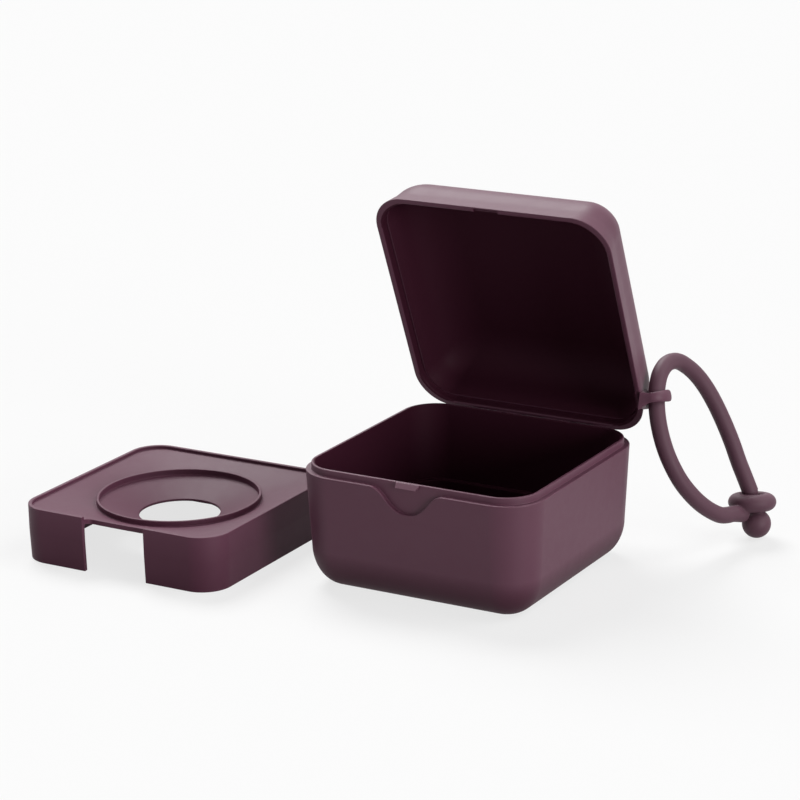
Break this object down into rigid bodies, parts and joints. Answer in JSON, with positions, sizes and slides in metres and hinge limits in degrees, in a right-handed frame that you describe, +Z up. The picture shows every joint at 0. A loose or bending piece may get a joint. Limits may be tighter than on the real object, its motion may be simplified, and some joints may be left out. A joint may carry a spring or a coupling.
{
  "type": "pacifier sterilizer case",
  "caption": "Rounded square plastic case with a hinged lid standing open, a lift-out insert tray with a central hole beside it, and a loop strap through an eyelet on the lid.",
  "frame": {"origin": "middle of the case base's flat underside", "axes": "+Z up, -Y out of the front wall with the finger recess, +Y towards the hinge, +X towards the eyelet and the strap"},
  "size_m": [0.2346, 0.1517, 0.1309],
  "materials": {
    "shell_plastic": "fine matte moulded polypropylene, deep plum",
    "tray_plastic": "fine matte moulded polypropylene, deep plum",
    "pin_plastic": "smooth plastic rod, plum",
    "strap_silicone": "soft matte silicone, plum"
  },
  "bodies": {
    "case": {"case_base": "shell_plastic", "hinge_pin": "pin_plastic"},
    "lid": {"lid": "shell_plastic"},
    "tray": {"insert_tray": "tray_plastic"},
    "strap": {"strap_cord": "strap_silicone", "strap_eye": "strap_silicone", "strap_ball": "strap_silicone"}
  },
  "joints": [
    {"name": "lid_hinge", "type": "hinge", "parent": "case", "child": "lid", "pos_m": [0, 0.0475, 0.0412], "axis": [-1, 0, 0], "range_deg": [-67.3, 3.2]},
    {"name": "strap_swing", "type": "hinge", "parent": "lid", "child": "strap", "pos_m": [0.05045, 0.04712, 0.05773], "axis": [-1, 0, 0], "range_deg": [-1.2, 14]},
    {"name": "tray_lift", "type": "slide", "parent": "case", "child": "tray", "axis": [0, 0, 1], "range_m": [0, 0.06]}
  ],
  "couplings": [
    {"joint": "strap_swing", "follows": "lid_hinge", "ratio": -0.2}
  ]
}
